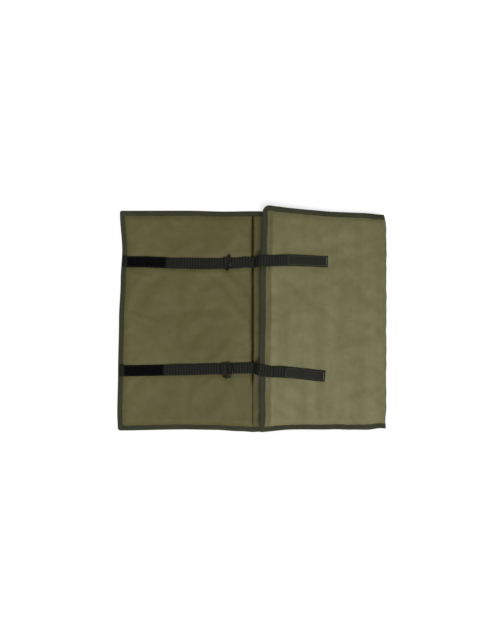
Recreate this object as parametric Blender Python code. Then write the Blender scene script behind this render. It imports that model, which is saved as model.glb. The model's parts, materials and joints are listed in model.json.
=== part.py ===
"""Padded unhooking mat of three bound foam panels: the left one lies open and the right one, the flap,
is folded over the middle one. Two webbing straps with D-rings cross the left panel and lie on the flap.

Metres, +Z up, +X from the left panel to the fold of the flap. The origin is on the floor below the middle
of the outline, and the line where the left panel folds stands at X = 0.
"""

import math

import bmesh
import bpy
from mathutils import Vector

# Panels
LEFT_WIDTH = 0.3035
FOLD_WIDTH = 0.302
PANEL_HALF_LENGTH = 0.249
FOLD_NARROWING = 0.009
PANEL_THICKNESS = 0.012
SKIN_THICKNESS = 0.0007
FOAM_EDGE_THICKNESS = 0.0018
DRAW_IN = 0.050
FOLD_DRAW_IN = 0.014
LOW_RISE_RUN = 0.014
FOLD_GAP = 0.0006
FOLD_BULGE = 0.0017
CLEARANCE = 0.0004

# Edge binding
TAPE_WIDTH = 0.011
TAPE_THICKNESS = 0.0009
TAPE_CORNER_MARGIN = 0.002
TAPE_FLARE = 0.0003
TAPE_LIFT = 0.0004

# Flap, with its free edge standing off the middle panel
FLAP_SETBACK = 0.0165
NORTH_LIFT = 0.026
SOUTH_LIFT = 0.018
LIFT_RUN = 0.170
LIFT_CURVE_SHARE = 1.25
CORNER_LIFT_SHARE = 1.5

# Straps
WEBBING_WIDTH = 0.025
WEBBING_THICKNESS = 0.0015
UPPER_STRAP_Y = 0.1315
LOWER_STRAP_Y = -0.108
STRAP_END_INSET = 0.004
UPPER_BASE_SLOPE_SHARE = -0.008
UPPER_TAIL_SLOPE_SHARE = 0.014
LOWER_BASE_SLOPE_SHARE = 0.026
LOWER_TAIL_SLOPE_SHARE = -0.095
UPPER_TAIL_REACH = 0.169
LOWER_TAIL_REACH = 0.163
PATCH_WIDTH = 0.0235
PATCH_LENGTH = 0.087
LOOP_PATCH_THICKNESS = 0.0018
HOOK_PATCH_THICKNESS = 0.0014
LOOP_PATCH_INSET = 0.017
HOOK_PATCH_INSET = 0.003

# D-rings
RING_WIRE_RADIUS = 0.0019
RING_INNER_WIDTH = 0.0290
RING_INNER_DEPTH = 0.0165
RING_CORNER_RADIUS = 0.0045
UPPER_RING_SETBACK = 0.0575
LOWER_RING_SETBACK = 0.063
HUMP_RUN = 0.010
UPPER_RING_TILT = math.radians(60)
LOWER_RING_TILT = math.radians(15)

# Steps of the meshes
ARC_STEPS = 3
BEND_STEPS = 4
BOW_STEPS = 14
RING_CORNER_STEPS = 3
WIRE_RESOLUTION = 2
HUMP_STEPS = 10
CLIMB_STEPS = 9
MIDDLE_SPANS = 3
BOUND_COLUMN_SHARES = (0, 0.2, 0.55, 1)
FOLD_COLUMN_SHARES = (0.3, 1)
LIFT_COLUMN_SHARES = (0.5, 0.7, 0.87, 1)
INNER_ROW_SHARE = 0.4
FREE_EDGE_SHARES = (0.6, 0.2, -0.2, -0.6)
SHARP_ANGLE = math.radians(50)

# Places that follow from the sizes above
FOLD_HALF_LENGTH = PANEL_HALF_LENGTH - FOLD_NARROWING
CORNER_RADIUS = TAPE_WIDTH + TAPE_CORNER_MARGIN
EDGE_STACK = 2 * SKIN_THICKNESS + FOAM_EDGE_THICKNESS + 2 * CLEARANCE
TAPE_INNER_HALF = EDGE_STACK / 2 + CLEARANCE
TAPE_OUTER_HALF = TAPE_INNER_HALF + TAPE_THICKNESS
RIM_HEIGHT = TAPE_LIFT + TAPE_FLARE + TAPE_THICKNESS + CLEARANCE
EDGE_INSET = TAPE_OUTER_HALF + CLEARANCE
TAPE_MIDDLE = TAPE_LIFT + TAPE_FLARE + TAPE_OUTER_HALF
FLAP_FLOOR = PANEL_THICKNESS + CLEARANCE
FLAP_FOLD_HEIGHT = PANEL_THICKNESS + CLEARANCE / 2
STRAP_FLOOR = PANEL_THICKNESS + CLEARANCE
TAPE_TOP = TAPE_MIDDLE + TAPE_OUTER_HALF + TAPE_FLARE
BAR_HEIGHT = STRAP_FLOOR + RING_WIRE_RADIUS
HUMP_HEIGHT = 2 * RING_WIRE_RADIUS + CLEARANCE
BOW_HALF_WIDTH = RING_INNER_WIDTH / 2 + RING_WIRE_RADIUS
BOW_DEPTH = RING_INNER_DEPTH + 2 * RING_WIRE_RADIUS


def clamp(value):
    return max(0, min(1, value))


def blend(first, second, share):
    return first + (second - first) * share


def quarter_sine(share):
    """Rises from 0 and levels out at 1, like padding drawn down at a seam."""
    return math.sin(math.pi / 2 * clamp(share))


def half_length(x):
    """Half the length of the mat at this place: it is drawn in towards the fold of the flap."""
    return blend(PANEL_HALF_LENGTH, FOLD_HALF_LENGTH, clamp(x / FOLD_WIDTH))


def bound_rise(distance):
    return quarter_sine((distance - TAPE_WIDTH) / DRAW_IN)


def fold_rise(distance):
    return quarter_sine(distance / FOLD_DRAW_IN)


def rim_share(distance):
    """1 under the binding, 0 where the lower skin has come down to its level."""
    return 1 - quarter_sine((distance - TAPE_WIDTH) / LOW_RISE_RUN)


class Panel:
    """One padded panel: where it lies, and the height of its lower and upper face at any place.
    Its upper face is drawn down at top_fold and its lower face up at low_fold, places along X."""

    def __init__(
        self, name, start, end, top_fold, low_fold=None, floor=0, free_edge=False, lifts=(0, 0)
    ):
        self.name = name
        self.start = start
        self.end = end
        self.top_fold = top_fold
        self.low_fold = low_fold
        self.floor = floor
        self.free_edge = free_edge
        self.lifts = lifts

    def side_distance(self, x, y):
        return half_length(x) - abs(y)

    def low(self, x, y):
        rim = rim_share(self.side_distance(x, y))
        if self.free_edge:
            rim = max(rim, rim_share(x - self.start))
        height = self.floor + RIM_HEIGHT * rim
        if self.low_fold is not None:
            lifted = self.floor + PANEL_THICKNESS - EDGE_STACK
            height = max(height, blend(lifted, self.floor, fold_rise(abs(x - self.low_fold))))
        return height + self.warp(x, y)

    def high(self, x, y):
        full = bound_rise(self.side_distance(x, y)) * fold_rise(abs(x - self.top_fold))
        if self.free_edge:
            full *= bound_rise(x - self.start)
        top = self.floor + PANEL_THICKNESS + self.warp(x, y)
        return blend(min(self.low(x, y) + EDGE_STACK, top), top, full)

    def warp(self, x, y):
        """How far the sprung free edge lifts this place, between its lifts at the south and north ends."""
        north = clamp((y / PANEL_HALF_LENGTH + 1) / 2) ** CORNER_LIFT_SHARE
        remaining = 1 - clamp((x - self.start) / LIFT_RUN)
        return blend(*self.lifts, north) * remaining**LIFT_CURVE_SHARE

    def corner_cut(self, x):
        """How much a rounded free corner takes off the half length of what lies inside the binding."""
        distance = x - self.start
        if not self.free_edge or distance >= CORNER_RADIUS:
            return 0
        radius = CORNER_RADIUS - EDGE_INSET
        return radius - math.sqrt(max(0, radius**2 - (CORNER_RADIUS - distance) ** 2))

    def columns(self):
        """The places along X that carry the shape, from the panel's left edge to its right edge."""
        places = []
        if self.free_edge:
            places += [self.start + inset for inset in corner_insets() + bound_insets()]
        else:
            places += [self.start + inset for inset in fold_insets()]
        places += [self.end - inset for inset in fold_insets()]
        inner = [places[len(places) - len(fold_insets()) - 1], self.end - FOLD_DRAW_IN]
        places += [blend(*inner, step / MIDDLE_SPANS) for step in range(1, MIDDLE_SPANS)]
        if any(self.lifts):
            places += [self.start + LIFT_RUN * share for share in LIFT_COLUMN_SHARES]
        return tidy_places(places)

    def faceted_high(self, x, y):
        """The height of the upper face where it runs straight between two columns."""
        columns = self.columns()
        before = max([place for place in columns if place <= x], default=columns[0])
        after = min([place for place in columns if place > x], default=columns[-1])
        share = clamp((x - before) / (after - before)) if after > before else 0
        return blend(self.high(before, y), self.high(after, y), share)

    def row(self, x):
        """The places along Y at this column, from the south edge to the north edge."""
        half = half_length(x) - self.corner_cut(x)
        insets = [EDGE_INSET] + bound_insets()
        north = [half - inset for inset in insets]
        north.append(north[-1] * INNER_ROW_SHARE)
        return [-y for y in north] + [0] + north[::-1]


def corner_insets():
    radius = CORNER_RADIUS - EDGE_INSET
    angles = [math.pi / 2 * step / ARC_STEPS for step in range(ARC_STEPS + 1)]
    return [CORNER_RADIUS - radius * math.cos(angle) for angle in angles]


def bound_insets():
    return [TAPE_WIDTH + DRAW_IN * share for share in BOUND_COLUMN_SHARES]


def fold_insets():
    return [FOLD_GAP] + [FOLD_DRAW_IN * share for share in FOLD_COLUMN_SHARES]


def tidy_places(places):
    """The places in order, without any that nearly repeats another."""
    kept = []
    for place in sorted(places):
        if not kept or place - kept[-1] > CLEARANCE:
            kept.append(place)
    return kept


LEFT = Panel("left", -LEFT_WIDTH, 0, top_fold=0, free_edge=True)
MIDDLE = Panel("middle", 0, FOLD_WIDTH, top_fold=0, low_fold=FOLD_WIDTH)
FLAP = Panel(
    "flap", FLAP_SETBACK, FOLD_WIDTH, top_fold=FOLD_WIDTH, floor=FLAP_FLOOR, free_edge=True,
    lifts=(SOUTH_LIFT, NORTH_LIFT),
)


def clear_scene():
    for item in list(bpy.data.objects):
        bpy.data.objects.remove(item, do_unlink=True)


def material(name, color, roughness, metallic=0):
    made = bpy.data.materials.new(name)
    made.use_nodes = True
    shader = made.node_tree.nodes["Principled BSDF"]
    shader.inputs["Base Color"].default_value = (*color, 1)
    shader.inputs["Roughness"].default_value = roughness
    shader.inputs["Metallic"].default_value = metallic
    made.diffuse_color = (*color, 1)
    return made


def inner_cloth():
    return material("inner_cloth", (0.110, 0.103, 0.045), 0.8)


def outer_cloth():
    return material("outer_cloth", (0.168, 0.158, 0.080), 0.8)


def foam():
    return material("closed_cell_foam", (0.25, 0.25, 0.24), 0.9)


def binding_tape():
    return material("binding_tape", (0.047, 0.051, 0.033), 0.75)


def webbing():
    return material("webbing", (0.016, 0.018, 0.015), 0.7)


def pile_patch():
    return material("pile_patch", (0.004, 0.004, 0.005), 0.95)


def hook_patch():
    return material("hook_patch", (0.012, 0.012, 0.012), 0.6)


def dark_metal():
    return material("dark_metal", (0.06, 0.06, 0.06), 0.35, 1)


def add_mesh(name, rings, loops_close, finish, origin=(0, 0, 0)):
    """A closed solid through a row of sections, each a loop of points, with flat ends."""
    mesh = bmesh.new()
    rows = [[mesh.verts.new(Vector(point) - Vector(origin)) for point in ring] for ring in rings]
    count = len(rows[0])
    pairs = list(zip(rows, rows[1:]))
    if loops_close:
        pairs.append((rows[-1], rows[0]))
    for first, second in pairs:
        for index in range(count):
            following = (index + 1) % count
            corners = (first[index], first[following], second[following], second[index])
            # Both faces of a layer are split along the same diagonal, which keeps stacked layers apart.
            turn = 0 if index < count // 2 else 1
            mesh.faces.new([corners[(turn + step) % 4] for step in (0, 1, 2)])
            mesh.faces.new([corners[(turn + step) % 4] for step in (0, 2, 3)])
    if not loops_close:
        cap_section(mesh, rows[0])
        cap_section(mesh, rows[-1])
    bmesh.ops.recalc_face_normals(mesh, faces=mesh.faces)
    data = bpy.data.meshes.new(name)
    mesh.to_mesh(data)
    mesh.free()
    data.materials.append(finish)
    data.shade_smooth()
    data.set_sharp_from_angle(angle=SHARP_ANGLE)
    made = bpy.data.objects.new(name, data)
    made.location = origin
    bpy.context.scene.collection.objects.link(made)
    return made


def cap_section(mesh, row):
    """Closes a section whose first half runs along one face and whose second half runs back."""
    count = len(row)
    for index in range(count // 2 - 1):
        mesh.faces.new((row[index], row[index + 1], row[count - 2 - index], row[count - 1 - index]))


def between_faces(name, panel, lower, upper, finish):
    """A layer of a panel between two height functions."""
    sections = []
    for x in panel.columns():
        ys = panel.row(x)
        under = [(x, y, lower(x, y)) for y in ys]
        over = [(x, y, upper(x, y)) for y in reversed(ys)]
        sections.append(under + over)
    return add_mesh(name, sections, False, finish)


def make_layers(panel, low_name, low_finish, high_name, high_finish):
    def above_low(x, y):
        return panel.low(x, y) + SKIN_THICKNESS

    def below_high(x, y):
        return panel.high(x, y) - SKIN_THICKNESS

    def foam_low(x, y):
        return above_low(x, y) + CLEARANCE

    def foam_high(x, y):
        return below_high(x, y) - CLEARANCE

    between_faces(low_name, panel, panel.low, above_low, low_finish)
    between_faces(f"{panel.name}_foam_core", panel, foam_low, foam_high, foam())
    between_faces(high_name, panel, below_high, panel.high, high_finish)


def tape_profile():
    """The folded tape as (distance in from the outer edge, height from its middle), round its outside
    from the tip of the upper leg to that of the lower leg, and back round its inside."""
    def one_side(half, edge):
        arc = [math.pi / 2 - math.pi * step / BEND_STEPS for step in range(BEND_STEPS + 1)]
        bend = [(edge + half * (1 - math.cos(angle)), half * math.sin(angle)) for angle in arc]
        tip = half + TAPE_FLARE
        return [(TAPE_WIDTH, tip)] + bend + [(TAPE_WIDTH, -tip)]

    outside = one_side(TAPE_OUTER_HALF, 0)
    inside = one_side(TAPE_INNER_HALF, TAPE_THICKNESS)
    return outside + inside[::-1]


def edge_run(panel, first, last, side):
    """Stations (place, outward direction) along the north or south edge of a panel."""
    ends = (min(first, last), max(first, last))
    places = [x for x in panel.columns() if ends[0] < x < ends[1]]
    places = tidy_places([*ends, *places])
    if first > last:
        places.reverse()
    slope = (half_length(panel.end) - half_length(panel.start)) / (panel.end - panel.start)
    outward = Vector((-slope, side)).normalized()
    return [(Vector((x, side * half_length(x))), outward) for x in places]


def corner_run(panel, side):
    """Stations round a free corner, from the north or south edge to the left edge."""
    centre_x = panel.start + CORNER_RADIUS
    centre = Vector((centre_x, side * (half_length(centre_x) - CORNER_RADIUS)))
    stations = []
    for step in range(1, ARC_STEPS + 1):
        angle = math.pi / 2 * step / ARC_STEPS
        outward = Vector((-math.sin(angle), side * math.cos(angle)))
        stations.append((centre + outward * CORNER_RADIUS, outward))
    return stations


def free_edge_run(panel):
    """Stations down the left edge between its two rounded corners."""
    half = half_length(panel.start + CORNER_RADIUS) - CORNER_RADIUS
    return [(Vector((panel.start, half * share)), Vector((-1, 0))) for share in FREE_EDGE_SHARES]


def make_tape(name, panel, stations, finish):
    profile = tape_profile()
    sections = []
    for place, outward in stations:
        section = []
        for inset, height in profile:
            spot = place - outward * inset
            z = panel.floor + TAPE_MIDDLE + height + panel.warp(spot.x, spot.y)
            section.append((spot.x, spot.y, z))
        sections.append(section)
    return add_mesh(name, sections, False, finish)


def make_free_binding(name, panel, finish):
    """One tape along the north edge, round the free edge and back along the south edge."""
    end = panel.end - FOLD_GAP
    start = panel.start + CORNER_RADIUS
    stations = edge_run(panel, end, start, 1)
    stations += corner_run(panel, 1)
    stations += free_edge_run(panel)
    stations += corner_run(panel, -1)[::-1]
    stations += edge_run(panel, start, end, -1)
    return make_tape(name, panel, stations, finish)


def make_middle_bindings(finish):
    low_end = FOLD_WIDTH - FOLD_DRAW_IN
    for side, name in ((1, "middle_north_binding"), (-1, "middle_south_binding")):
        stations = edge_run(MIDDLE, FOLD_GAP, low_end, side)
        make_tape(name, MIDDLE, stations, finish)


def make_left_fold_seam(finish):
    """The two skins sewn together along the open fold, as one thin strip between the panels."""
    half = PANEL_HALF_LENGTH - TAPE_WIDTH
    reach = FOLD_GAP - CLEARANCE / 2
    low = CLEARANCE
    high = EDGE_STACK
    corners = ((-reach, low), (reach, low), (reach, high), (-reach, high))
    sections = [[(x, y, z) for x, z in corners] for y in (-half, half)]
    return add_mesh("left_fold_seam", sections, False, finish)


def make_right_fold_skin(finish):
    """The outer skin where it turns round the fold between the middle panel and the flap."""
    half = FOLD_HALF_LENGTH - TAPE_WIDTH
    start = FOLD_WIDTH - FOLD_GAP + CLEARANCE
    angles = [math.pi / 2 - math.pi * step / BEND_STEPS for step in range(BEND_STEPS + 1)]

    def turned(depth, rise, y):
        outline = [(depth * math.cos(angle), rise * math.sin(angle)) for angle in angles]
        return [(start + x, y, FLAP_FOLD_HEIGHT + z) for x, z in outline]

    rise = EDGE_STACK + SKIN_THICKNESS
    sections = []
    for y in (-half, half):
        outside = turned(FOLD_BULGE, rise, y)
        inside = turned(FOLD_BULGE - SKIN_THICKNESS, EDGE_STACK, y)
        sections.append(outside + inside[::-1])
    return add_mesh("right_fold_skin", sections, False, finish)


class Strap:
    """One closure strap: a base sewn along the left panel and a loose tail lying on the flap."""

    def __init__(self, name, y, base_slope, tail_slope, reach, ring_setback, ring_tilt):
        self.name = name
        self.y = y
        self.base_slope = base_slope
        self.tail_slope = tail_slope
        self.reach = reach
        self.ring_x = -ring_setback
        self.ring_tilt = ring_tilt

    def centre(self, x):
        slope = self.base_slope if x < 0 else self.tail_slope
        return self.y + slope * x

    def resting_height(self, panel, x):
        """The height just clear of the panel and its binding, over the whole width of the webbing."""
        distance = x - panel.start
        heights = []
        for side in (-1, 0, 1):
            y = self.centre(x) + side * WEBBING_WIDTH / 2
            heights.append(panel.faceted_high(x, y))
            if distance < TAPE_WIDTH + 2 * CLEARANCE:
                heights.append(panel.floor + TAPE_TOP + panel.warp(x, y))
        return max(heights) + CLEARANCE

    def base_height(self, x):
        """The base follows the panel, rises over the bar of its ring and runs level to the fold."""
        if x < self.ring_x - HUMP_RUN:
            return self.resting_height(LEFT, x)
        share = clamp(abs(x - self.ring_x) / HUMP_RUN)
        return STRAP_FLOOR + HUMP_HEIGHT * (1 + math.cos(math.pi * share)) / 2

    def tail_height(self, x):
        """The tail climbs from the fold over the free edge of the flap and then lies on it."""
        climb = FLAP_SETBACK - WEBBING_THICKNESS
        if x < climb:
            share = (1 - math.cos(math.pi * clamp(x / climb))) / 2
            return blend(STRAP_FLOOR, self.resting_height(FLAP, FLAP_SETBACK), share)
        return self.resting_height(FLAP, max(x, FLAP_SETBACK))

    def base_places(self):
        first = -LEFT_WIDTH + STRAP_END_INSET
        hump = [self.ring_x + HUMP_RUN * (2 * step / HUMP_STEPS - 1) for step in range(HUMP_STEPS + 1)]
        off_tape = -LEFT_WIDTH + TAPE_WIDTH + CLEARANCE
        run = [x for x in LEFT.columns() if off_tape < x < hump[0]]
        return tidy_places([first, off_tape, *run, *hump, -FOLD_GAP])

    def tail_places(self):
        climb = FLAP_SETBACK - WEBBING_THICKNESS
        climbing = [blend(FOLD_GAP, climb, step / CLIMB_STEPS) for step in range(CLIMB_STEPS)]
        off_tape = FLAP_SETBACK + TAPE_WIDTH + CLEARANCE
        run = [x for x in FLAP.columns() if off_tape < x < self.reach]
        return tidy_places([*climbing, climb, FLAP_SETBACK, off_tape, *run, self.reach])


def strip_line(places, height, thickness):
    """(x, underside, upper side) of a strip at each place, its thickness kept on slopes."""
    unders = [height(x) for x in places]
    line = []
    for index, (x, under) in enumerate(zip(places, unders)):
        before = max(index - 1, 0)
        after = min(index + 1, len(places) - 1)
        slope = (unders[after] - unders[before]) / (places[after] - places[before])
        line.append((x, under, under + thickness * math.hypot(1, slope)))
    return line


def upper_side(line, x):
    """The height of a strip's upper side, which runs straight between its places."""
    for (start, _, first), (end, _, second) in zip(line, line[1:]):
        if start <= x <= end:
            return blend(first, second, (x - start) / (end - start))
    return line[-1][2]


def add_strip(name, strap, line, width, finish):
    sections = []
    for x, under, over in line:
        low = strap.centre(x) - width / 2
        high = strap.centre(x) + width / 2
        sections.append([(x, low, under), (x, high, under), (x, high, over), (x, low, over)])
    return add_mesh(name, sections, False, finish)


def add_patch(name, strap, webbing_line, start, thickness, finish):
    """A hook or loop patch sewn to the upper side of the webbing, from this place on."""
    end = start + PATCH_LENGTH

    def on_webbing(x):
        return upper_side(webbing_line, x) + CLEARANCE

    places = tidy_places([start, *[x for x, _, _ in webbing_line if start < x < end], end])
    add_strip(name, strap, strip_line(places, on_webbing, thickness), PATCH_WIDTH, finish)


def make_base(strap, web, pile):
    """The sewn webbing and the loop patch on its west end."""
    line = strip_line(strap.base_places(), strap.base_height, WEBBING_THICKNESS)
    add_strip(f"{strap.name}_base", strap, line, WEBBING_WIDTH, web)
    start = -LEFT_WIDTH + LOOP_PATCH_INSET
    add_patch(f"{strap.name}_loop_patch", strap, line, start, LOOP_PATCH_THICKNESS, pile)


def make_tail(strap, web, hook):
    """The loose webbing and the hook patch on its end."""
    line = strip_line(strap.tail_places(), strap.tail_height, WEBBING_THICKNESS)
    add_strip(f"{strap.name}_tail", strap, line, WEBBING_WIDTH, web)
    start = strap.reach - HOOK_PATCH_INSET - PATCH_LENGTH
    add_patch(f"{strap.name}_hook_patch", strap, line, start, HOOK_PATCH_THICKNESS, hook)


def ring_path():
    """The centre line of the wire: a straight bar along Y at x = 0, and a bow that swells towards +x."""
    corner = RING_CORNER_RADIUS
    side = BOW_HALF_WIDTH - corner
    points = []
    for step in range(RING_CORNER_STEPS + 1):
        angle = math.pi / 2 * step / RING_CORNER_STEPS
        points.append((corner - corner * math.cos(angle), side + corner * math.sin(angle)))
    for step in range(1, BOW_STEPS):
        angle = math.pi * step / BOW_STEPS
        points.append((corner + (BOW_DEPTH - corner) * math.sin(angle), BOW_HALF_WIDTH * math.cos(angle)))
    mirrored = [(x, -y) for x, y in points[RING_CORNER_STEPS::-1]]
    return points + mirrored


def make_ring(strap, finish):
    name = f"{strap.name}_d_ring"
    curve = bpy.data.curves.new(name, "CURVE")
    curve.dimensions = "3D"
    curve.bevel_depth = RING_WIRE_RADIUS
    curve.bevel_resolution = WIRE_RESOLUTION
    points = ring_path()
    spline = curve.splines.new("POLY")
    spline.points.add(len(points) - 1)
    for point, (x, y) in zip(spline.points, points):
        point.co = (x, y, 0, 1)
    spline.use_cyclic_u = True
    curve.materials.append(finish)
    ring = bpy.data.objects.new(name, curve)
    ring.location = (strap.ring_x, strap.centre(strap.ring_x), BAR_HEIGHT)
    ring.rotation_euler = (0, -strap.ring_tilt, 0)
    bpy.context.scene.collection.objects.link(ring)
    return ring


def main():
    clear_scene()
    inner = inner_cloth()
    outer = outer_cloth()
    tape = binding_tape()
    make_layers(LEFT, "left_outer_skin", outer, "left_inner_skin", inner)
    make_layers(MIDDLE, "middle_outer_skin", outer, "middle_inner_skin", inner)
    make_layers(FLAP, "flap_inner_skin", inner, "flap_outer_skin", outer)
    make_free_binding("left_binding", LEFT, tape)
    make_free_binding("flap_binding", FLAP, tape)
    make_middle_bindings(tape)
    make_left_fold_seam(inner)
    make_right_fold_skin(outer)
    upper = Strap(
        "upper_strap", UPPER_STRAP_Y, UPPER_BASE_SLOPE_SHARE, UPPER_TAIL_SLOPE_SHARE,
        UPPER_TAIL_REACH, UPPER_RING_SETBACK, UPPER_RING_TILT,
    )
    lower = Strap(
        "lower_strap", LOWER_STRAP_Y, LOWER_BASE_SLOPE_SHARE, LOWER_TAIL_SLOPE_SHARE,
        LOWER_TAIL_REACH, LOWER_RING_SETBACK, LOWER_RING_TILT,
    )
    web = webbing()
    pile = pile_patch()
    hook = hook_patch()
    metal = dark_metal()
    for strap in (upper, lower):
        make_base(strap, web, pile)
        make_tail(strap, web, hook)
        make_ring(strap, metal)


main()
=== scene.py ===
"""Looks of the padded unhooking mat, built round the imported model. Metres, in the model's own frame:
+Z up, +X from the left panel to the fold of the flap, the left fold at X = 0.
"""

import json
import math

import bmesh
import bpy
import numpy as np
from mathutils import Matrix, Vector


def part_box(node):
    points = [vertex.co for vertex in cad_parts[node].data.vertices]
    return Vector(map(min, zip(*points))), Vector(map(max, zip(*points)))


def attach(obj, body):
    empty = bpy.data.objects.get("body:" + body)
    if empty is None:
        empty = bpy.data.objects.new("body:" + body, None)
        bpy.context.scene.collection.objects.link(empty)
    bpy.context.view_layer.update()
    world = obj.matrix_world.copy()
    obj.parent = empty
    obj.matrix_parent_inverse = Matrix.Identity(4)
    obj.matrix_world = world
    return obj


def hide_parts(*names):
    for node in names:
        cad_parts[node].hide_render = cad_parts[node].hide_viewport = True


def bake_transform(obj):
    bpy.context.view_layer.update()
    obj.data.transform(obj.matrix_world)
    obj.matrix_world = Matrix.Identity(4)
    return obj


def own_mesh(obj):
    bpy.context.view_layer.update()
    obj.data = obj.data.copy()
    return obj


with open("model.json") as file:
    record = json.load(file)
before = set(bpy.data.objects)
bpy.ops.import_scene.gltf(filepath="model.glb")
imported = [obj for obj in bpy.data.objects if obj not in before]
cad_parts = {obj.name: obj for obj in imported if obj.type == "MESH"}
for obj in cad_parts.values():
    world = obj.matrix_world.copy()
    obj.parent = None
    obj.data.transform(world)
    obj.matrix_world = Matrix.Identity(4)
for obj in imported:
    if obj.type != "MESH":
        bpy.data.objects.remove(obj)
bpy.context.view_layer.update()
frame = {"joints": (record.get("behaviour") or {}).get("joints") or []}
JOINTS = {joint["name"]: joint for joint in frame["joints"]}

# Cloth and tape
SKIN = 0.0007
LAYER_GAP = 0.0002
EDGE_FOAM = 0.0012
TAPE_WIDTH = 0.0115
TAPE_THICKNESS = 0.0008
TAPE_MIDDLE = 0.0034
TAPE_INSET = 0.0040
TAPE_STEP = 0.004
TAPE_WOBBLE = 0.00055
END_WOBBLE = 0.00018
WOBBLE_WAVES = (0.019, 0.037, 0.071)
WOBBLE_CORNER = 0.035
WOBBLE_RUN = 0.03
EDGE_STACK = 2 * SKIN + EDGE_FOAM + 2 * LAYER_GAP
TAPE_HALF = EDGE_STACK / 2 + LAYER_GAP + TAPE_THICKNESS
STITCH_LINE = TAPE_WIDTH - 0.0026

# Places read from the frame
LEFT_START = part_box("left_binding")[0].x
HALF_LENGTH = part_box("left_binding")[1].y
FOLD_X = JOINTS["flap_fold"]["pos_m"][0]
FOLD_HALF_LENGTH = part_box("right_fold_skin")[1].y + TAPE_WIDTH
FLAP_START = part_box("flap_binding")[0].x
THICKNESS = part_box("left_inner_skin")[1].z
FLAP_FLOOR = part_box("flap_inner_skin")[0].z

# Padding
PAD_RUN = 0.013
HEM_WIDTH = 0.0108
HEM_RISE_SHARE = 0.62
HEM_SHOULDER_RUN = 0.005
LOW_RUN = 0.014
FOLD_RUN = 0.0110
SEAM_GAP = 0.0003
GROOVE_GAP = 0.0023
GROOVE_SHIFT = 0.0011
GROOVE_SHIFT_REACH = 0.04
GROOVE_WAVE = 0.00028
GROOVE_WAVES = (0.008, 0.019, 0.047)
GROOVE_WAVE_REACH = 0.006
GROOVE_CLOSE = 0.0037
GROOVE_CLOSE_REACH = 0.0035
GROOVE_CLOSE_FADE = 0.02
GROOVE_CLOSED_BELOW = -0.150
GROOVE_CLOSE_RUN = 0.03
SEAM_LAP = 0.0008
SEAM_SPREAD = 1.13
TAPE_JOINT_GAP = 0.0001
FOLD_BULGE = 0.0026
NORTH_LIFT = 0.030
SOUTH_LIFT = 0.018
LIFT_RUN = 0.170
LIFT_CURVE = 1.25
CORNER_LIFT_CURVE = 1.5

# Wrinkles
PUCKER_HEIGHT = 0.0008
PUCKER_REACH = 0.012
SIDE_PUCKERS = (0.023, 0.037, 0.061)
END_PUCKERS = (0.019, 0.034, 0.071)
RUMPLE_HEIGHT = 0.00035
RUMPLE_SIZE = 0.045
UNDER_RUMPLE_HEIGHT = 0.0007
UNDER_RUMPLE_SIZE = 0.05
STRAP_PRESS = 0.0011
STRAP_PRESS_RUN = 0.008
RING_PRESS = 0.0022
RING_PRESS_REACH = 0.020

# Cloth settling over its foam
CLOTH_GRID = 0.0065
CLOTH_FRAMES = 22
FOAM_HOLD = 0.10
SETTLE_UP = 0.0022
SETTLE_DOWN = 0.0015
SETTLE_SCALE = 0.0028
CLOTH_SETTINGS = {
    "vertex_group_mass": "hold",
    "quality": 6,
    "mass": 0.25,
    "tension_stiffness": 25,
    "compression_stiffness": 25,
    "shear_stiffness": 10,
    "bending_stiffness": 0.35,
    "tension_damping": 8,
    "compression_damping": 8,
    "pin_stiffness": 1.0,
    "shrink_min": -0.012,
    "use_pressure": True,
    "uniform_pressure_force": 0.25,
}


def millimetres(*pairs):
    """(place, value) pairs written in millimetres, in metres."""
    return tuple((place / 1000, value / 1000) for place, value in pairs)


# How the sewn edges wander, as (place along the edge, how far outwards)
LEFT_END_DRIFT = millimetres(
    (-243, 4.6), (-211, 5.8), (-110, 3.9), (2, 1.8), (93, -2), (161, -5.5), (243, -0.4)
)
LEFT_NORTH_DRIFT = millimetres((-300, 3.6), (-150, 3.8), (-60, 1.8), (0, 2.6))
LEFT_SOUTH_DRIFT = millimetres((-300, 2), (-150, -0.4), (-85, 0.6), (-28, 3.7), (0, 5.6))
MIDDLE_NORTH_DRIFT = millimetres((0, 2.6), (20, 3), (120, 1), (302, 0))
MIDDLE_SOUTH_DRIFT = millimetres((0, 5.6), (20, 5.4), (120, 0), (302, 0))
FLAP_END_DRIFT = millimetres(
    (-240, 1.4), (-214, -1.1), (-191, -1), (-168, 0.4), (-148, -1), (-70, 0.4), (-43, 0), (0, -1.7),
    (59, -1.7), (82, -1.3), (170, -4.6), (195, -6), (218, -6.8), (241, -5.4)
)
FLAP_NORTH_DRIFT = millimetres(
    (30, 7.2), (55, 6.2), (84, 5.2), (130, 4.4), (181, 3.3), (250, 2.6), (302, 0)
)
FLAP_SOUTH_DRIFT = millimetres(
    (21, -1), (77, -3), (182, 1.4), (225, 3.4), (262, 4.6), (290, 1.8), (302, 3)
)
FOLD_DRIFT = millimetres((-240, 0), (-224, -2.4), (-195, -0.4), (0, 0), (200, 0), (222, -1), (240, -4.2))
FOLD_DRIFT_REACH = 0.05
NO_DRIFT = millimetres((-1000, 0), (1000, 0))

# The places where highlights are painted on the left panel's cloth
HIGHLIGHT_CORNER = (-0.312, -0.105, 0.012)
HIGHLIGHT_RUN = (0.16, 0.03)
HIGHLIGHT_BY_GROOVE = (-0.064, -0.044)

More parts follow.
